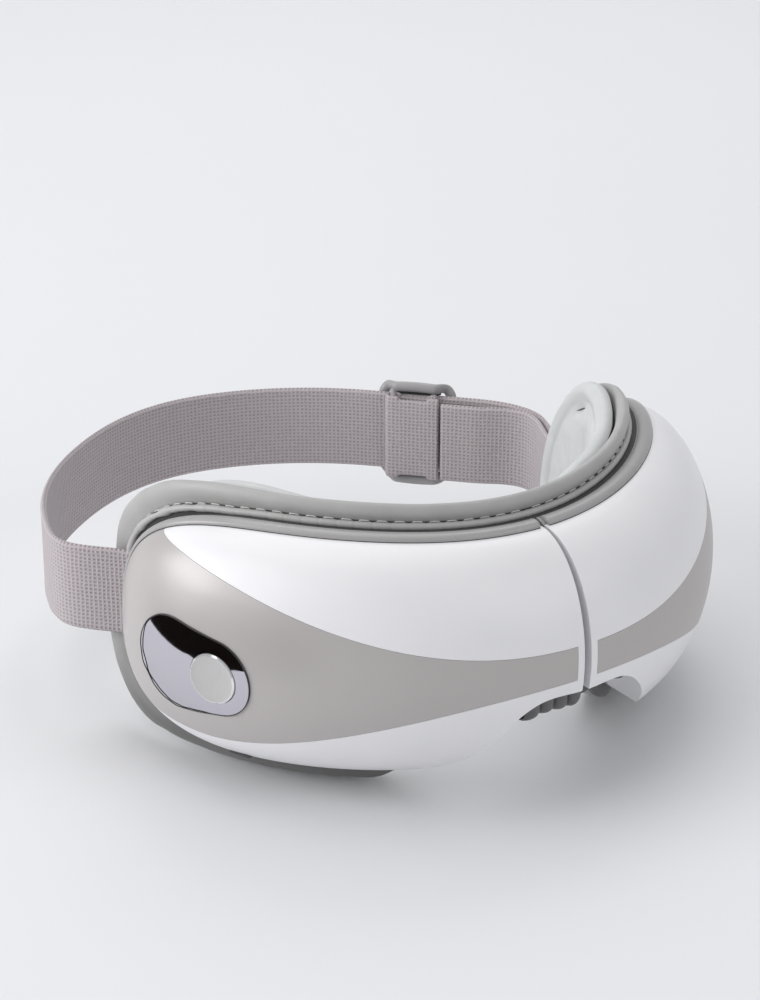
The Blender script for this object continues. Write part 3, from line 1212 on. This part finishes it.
class MASSAGER_OT_slider(bpy.types.Operator):
    """Build the rounded strap slider and the strap loop sewn round its bar"""
    bl_idname = "massager.slider"
    bl_label = "Strap slider"

    def execute(self, context):
        strap = settings().strap
        _, first, second, way = strap_line()
        middle = (first + second) / 2
        inside = np.array([way[1], -way[0]])

        def place(flat):
            """From along the strap, inside it and up, to the row frame."""
            flat = np.asarray(flat)
            plan = middle + flat[..., :1] * way + flat[..., 1:2] * inside
            return np.concatenate([plan, flat[..., 2:] + strap.height], axis=-1)

        self.ring(strap, place)
        self.loop(strap, place)
        return {"FINISHED"}

    def ring(self, strap, place):
        """An oblong ring, side bars outside the strap and rails over its edges, with a bar for the loop."""
        grey = moulded("Slider Grey", settings().finish.slider, 0.36)
        half, tall = strap.slider_half - RING_INSET, strap.width / 2 + RAIL_CLEARANCE
        corner = SLIDER_CORNER
        turns = np.linspace(0, np.pi / 2, 10)
        path = []
        for quarter, (cx, cz) in enumerate(((1, 1), (-1, 1), (-1, -1), (1, -1))):
            bend = turns + quarter * np.pi / 2
            path.append(np.stack([cx * (half - corner) + corner * np.cos(bend),
                                  cz * (tall - corner) + corner * np.sin(bend)], axis=1))
        path = evenly(np.concatenate(path + [path[0][:1]]), 161)[:-1]
        out = beside(np.roll(path, -1, 0) - np.roll(path, 1, 0))

        def bowed(along):
            """How far the rail is inside the strap's middle at a place along it."""
            share = smooth_step((1 - (along / half) ** 2 - 0.2) / 0.5)
            return strap.slider_side + (strap.slider_rail - strap.slider_side) * share

        over = np.abs(path[:, 1]) > tall - corner
        inside = np.where(over, bowed(path[:, 0]), strap.slider_side)
        path[:, 1] += np.where(over, np.sign(path[:, 1]), 0) * RAIL_BOW * (1 - (path[:, 0] / half) ** 2)
        round_turns = full_turn(20)
        rim = path[:, None] + out[:, None] * (BAR_OUTWARD * np.cos(round_turns))[None, :, None]
        thick = inside[:, None] + (BAR_INWARD * np.sin(round_turns))[None, :]
        points = np.stack([rim[..., 0], thick, rim[..., 1]], axis=-1)
        level = np.linspace(-tall, tall, 41)[:, None]
        bend = smooth_step((np.abs(level) - LOOP_BAR_STRAIGHT) / (tall - LOOP_BAR_STRAIGHT))
        depth = strap.slider_inside + (bowed(strap.bar_place) - strap.slider_inside) * bend
        bar_x = strap.bar_place + LOOP_BAR_RADIUS * np.cos(round_turns)[None, :]
        bar_y = depth + LOOP_BAR_RADIUS * np.sin(round_turns)[None, :]
        bar = np.stack(np.broadcast_arrays(bar_x, bar_y, level), axis=-1)
        faces = grid_faces(*points.shape[:2], True, True)
        faces += shifted(grid_faces(*bar.shape[:2], False, True), points.shape[0] * points.shape[1])
        self.webs(strap, place, tall, bowed)
        everything = np.concatenate([points.reshape(-1, 3), bar.reshape(-1, 3)])
        slider = new_piece("slider_ring", place(everything), faces, grey)
        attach(slider, "strap_slider")
        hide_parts("strap_slider")

    def webs(self, strap, place, tall, bowed):
        """The shade between each rail and the strap's edge."""
        shade = moulded("Slider Shade", settings().finish.joint, 0.6)
        along = np.linspace(-WEB_HALF, WEB_HALF, 21)[None, :]
        for name, edge in (("lower", -1), ("upper", 1)):
            height = edge * np.array([strap.width / 2 + WEB_GAP, tall])[:, None]
            points = np.stack(np.broadcast_arrays(along, bowed(along) - WEB_SETBACK, height), axis=-1)
            web = new_piece(f"slider_web_{name}", place(points), grid_faces(*points.shape[:2]), shade)
            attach(web, "strap_slider")

    def loop(self, strap, place):
        """The strap's end folded round the slider's bar, one leaf each side."""
        web = woven("Loop Webbing", settings().finish.strap, strap.weave)
        radius, bar_x, bar_y = LOOP_RADIUS, strap.bar_place, strap.slider_inside
        bends = np.linspace(np.pi / 2, 3 * np.pi / 2, 22)
        arc = np.stack([bar_x + radius * np.cos(bends), bar_y + radius * np.sin(bends)], axis=1)
        inner = np.stack([np.linspace(INNER_LEAF, bar_x, 24), np.full(24, bar_y + radius)], axis=1)
        outer = np.stack([np.linspace(bar_x, OUTER_LEAF, 20), np.full(20, bar_y - radius)], axis=1)
        line = np.concatenate([inner[:-1], arc, outer[1:]])
        side = beside(np.gradient(line, axis=0))
        one_way = np.linspace(-1, 1, LEAF_POINTS)
        across = np.concatenate([one_way, one_way[::-1]])
        face = np.repeat([1.0, -1.0], LEAF_POINTS) * np.sqrt(np.clip(1 - np.abs(across) ** 24, 0.06, 1))
        flare = smooth_step((np.abs(line[:, 0]) - LEAF_FLARE_START) / LEAF_FLARE_SPAN)
        half = strap.width / 2 - LEAF_NARROW + LEAF_FLARE * flare
        plan = line[:, None] + side[:, None] * (LOOP_THICK * face)[None, :, None]
        tall = half[:, None] * across[None, :]
        points = np.concatenate([plan, tall[..., None]], axis=-1)
        uv = np.stack(np.broadcast_arrays(run_length(line)[:, None], tall), axis=-1)
        faces = tube_faces(*points.shape[:2])
        loop = new_piece("slider_loop", place(points), faces, web, uv)
        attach(loop, "strap_slider")
        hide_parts("strap_sewn_loop")


# Inner parts

# Half the stretch of a lead that bends with the fold
LEAD_BEND = 0.0025


class MASSAGER_OT_inner_parts(bpy.types.Operator):
    """Finish the pump, battery, board and other inner parts"""
    bl_idname = "massager.inner_parts"
    bl_label = "Inner parts"

    def execute(self, context):
        steel = polished("Steel", (0.56, 0.56, 0.57), 0.28)
        brass = polished("Brass Weight", (0.60, 0.46, 0.22), 0.3)
        black = moulded("Inner Plastic", (0.05, 0.05, 0.055), 0.45)
        rubber = moulded("Tube Rubber", (0.62, 0.62, 0.60), 0.4)
        dress(["hinge_pin", "right_frame_screws", "left_frame_screws", "board_screws",
               "right_vibration_motor", "left_vibration_motor", "pump_motor"], steel)
        dress(["right_motor_weight", "left_motor_weight"], brass)
        dress(["pump_head", "solenoid_valve", "tact_switch", "right_strap_anchor", "left_strap_anchor",
               "charging_socket"], black)
        dress(["pump_tube"], rubber)
        self.lead("bridge_air_tube", "tube_rubber", rubber)
        self.lead("bridge_ribbon", "ribbon_film", moulded("Ribbon Film", (0.42, 0.20, 0.06), 0.4))
        film = moulded("Heating Film", (0.40, 0.19, 0.06), 0.35)
        dress(["right_heating_film", "left_heating_film"], film)
        air_skin = leather("Air Cell Skin", (0.50, 0.51, 0.52), 0.5, 0.001, 0.00003)
        dress(["right_airbag", "left_airbag"], air_skin)
        dress(["battery"], moulded("Cell Wrap", (0.10, 0.22, 0.42), 0.35))
        dress(["main_board"], moulded("Board Green", (0.03, 0.16, 0.07), 0.4))
        return {"FINISHED"}

    def lead(self, node, slot, finish):
        """A lead from half to half that bends in the seam, in the place of its stiff solid."""
        shape = bmesh.new()
        shape.from_mesh(frame["nodes"][node].data)
        for x in np.linspace(-LEAD_BEND, LEAD_BEND, 11):
            everything = [*shape.verts, *shape.edges, *shape.faces]
            bmesh.ops.bisect_plane(shape, geom=everything, plane_co=(x, 0, 0), plane_no=(1, 0, 0))
        points = [tuple(v.co) for v in shape.verts]
        shape.verts.index_update()
        faces = [tuple(v.index for v in face.verts) for face in shape.faces]
        shape.free()
        lead = new_piece(f"{node}_lead", points, faces, finish, sharp=math.radians(40))
        cross_nose(lead)
        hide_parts(node)


# Stage

# Soft lamps: name, place, size, power in watts, and what they point at
ON_MASSAGER, ON_BACKDROP = (0, 0, 0.04), (0.6, 0.9, 0.0)
LAMPS = (("Key", (-1.3, 0.0, 0.8), 1.1, 5.5, ON_MASSAGER),
         ("Left", (-1.25, 0.6, 0.35), 0.8, 9.0, ON_MASSAGER),
         ("Top", (-0.1, 0.35, 1.7), 1.6, 8.0, ON_MASSAGER),
         ("Front", (0.5, -1.4, 0.7), 1.2, 4.5, ON_MASSAGER),
         ("Back", (0.65, 0.95, 1.3), 1.2, 6.5, ON_BACKDROP))
WORLD_LIGHT = 0.46


class MASSAGER_OT_stage(bpy.types.Operator):
    """Set up the pale floor, the soft studio light and the camera"""
    bl_idname = "massager.stage"
    bl_label = "Stage"

    def execute(self, context):
        stage = settings().stage
        scene = context.scene
        scene.view_settings.view_transform = "Standard"
        self.floor(stage)
        self.world(scene)
        for lamp in LAMPS:
            self.lamp(*lamp)
        self.card()
        self.camera(scene, stage)
        return {"FINISHED"}

    def floor(self, stage):
        """A seamless sweep: level in front, curved up behind."""
        back, radius, tall = 1.6, 0.7, 2.6
        profile = [(-2.2, 0.0)]
        for bend in np.linspace(0, np.pi / 2, 24):
            profile.append((back + radius * math.sin(bend), radius * (1 - math.cos(bend))))
        profile.append((back + radius, tall))
        azimuth = stage.azimuth
        ahead = np.array([-math.sin(azimuth), math.cos(azimuth)])
        right = np.array([math.cos(azimuth), math.sin(azimuth)])
        rows = []
        for depth, height in profile:
            rows.append([(*(ahead * depth + right * wide), height) for wide in (-3.5, -1.2, 1.2, 3.5)])
        points = np.array(rows)
        paper = Finish("Paper Sweep", stage.floor, 0.9, specular=0.15)
        paper.mottle(paper.noise(0.6, detail=2.0), 0.985)
        paper.bump(paper.noise(0.0012, detail=2.0), 0.05, 0.0001)
        sweep = new_piece("paper_sweep", points, grid_faces(*points.shape[:2]), paper.material)
        sweep.data.flip_normals()

    def world(self, scene):
        world = bpy.data.worlds.new("Studio")
        world.use_nodes = True
        sky = world.node_tree.nodes["Background"]
        sky.inputs["Color"].default_value = (0.97, 0.98, 1.0, 1)
        sky.inputs["Strength"].default_value = WORLD_LIGHT
        scene.world = world

    def lamp(self, name, place, size, power, target):
        data = bpy.data.lights.new(name, "AREA")
        data.shape = "DISK"
        data.size = size
        data.energy = power
        lamp = bpy.data.objects.new(name, data)
        lamp.location = place
        lamp.rotation_euler = (Vector(target) - Vector(place)).to_track_quat("-Z", "Y").to_euler()
        bpy.context.scene.collection.objects.link(lamp)

    def card(self):
        """A dark card that only reflections see, as beside a product on a studio table."""
        x, near, far, high = -0.197, -0.16, 0.10, 0.085
        points = [(x, near, 0.001), (x, far, 0.001), (x, far, high), (x, near, high)]
        black = Finish("Card Black", (0.009, 0.005, 0.004), 0.9, specular=0.1)
        black.mottle(black.noise(0.05), 0.6)
        card = new_piece("dark_card", points, [(0, 1, 2, 3)], black.material)
        for ray in ("camera", "diffuse", "shadow", "transmission", "volume_scatter"):
            setattr(card, f"visible_{ray}", False)

    def camera(self, scene, stage):
        data = bpy.data.cameras.new("Camera")
        data.lens = stage.lens
        data.sensor_width = 36
        camera = bpy.data.objects.new("Camera", data)
        level, tilt = stage.azimuth, stage.elevation
        back = Vector((math.sin(level) * math.cos(tilt), -math.cos(level) * math.cos(tilt), math.sin(tilt)))
        right = Vector((math.cos(level), math.sin(level), 0))
        up = back.cross(right)
        turned = Matrix((right, up, back)).transposed().to_4x4()
        place = Vector(stage.target) + back * stage.distance
        camera.matrix_world = Matrix.Translation(place) @ turned
        scene.collection.objects.link(camera)
        scene.camera = camera


# Sidebar

STEPS = (MASSAGER_OT_shells, MASSAGER_OT_controls, MASSAGER_OT_bolster, MASSAGER_OT_eye_pads,
         MASSAGER_OT_nose_gusset, MASSAGER_OT_strap, MASSAGER_OT_slider, MASSAGER_OT_inner_parts,
         MASSAGER_OT_stage)


class MassagerSettings(bpy.types.PropertyGroup):
    """All settings of the massager."""
    body: PointerProperty(type=MassagerBodySettings)
    padding: PointerProperty(type=MassagerPaddingSettings)
    strap: PointerProperty(type=MassagerStrapSettings)
    finish: PointerProperty(type=MassagerFinishSettings)
    stage: PointerProperty(type=MassagerStageSettings)


class MASSAGER_PT_sidebar(bpy.types.Panel):
    """Lists the steps that build the massager"""
    bl_label = "Eye Massager"
    bl_idname = "MASSAGER_PT_sidebar"
    bl_space_type = "VIEW_3D"
    bl_region_type = "UI"
    bl_category = "Massager"

    def draw(self, context):
        for step in STEPS:
            self.layout.operator(step.bl_idname)


CLASSES = (MassagerBodySettings, MassagerPaddingSettings, MassagerStrapSettings, MassagerFinishSettings,
           MassagerStageSettings, MassagerSettings, *STEPS, MASSAGER_PT_sidebar)


def register():
    for kind in CLASSES:
        bpy.utils.register_class(kind)
    bpy.types.Scene.massager = PointerProperty(type=MassagerSettings)


def unregister():
    del bpy.types.Scene.massager
    for kind in reversed(CLASSES):
        bpy.utils.unregister_class(kind)


def main():
    register()
    bpy.ops.massager.shells()
    bpy.ops.massager.controls()
    bpy.ops.massager.bolster()
    bpy.ops.massager.eye_pads()
    bpy.ops.massager.nose_gusset()
    bpy.ops.massager.strap()
    bpy.ops.massager.slider()
    bpy.ops.massager.inner_parts()
    bpy.ops.massager.stage()


if __name__ == "__main__":
    main()
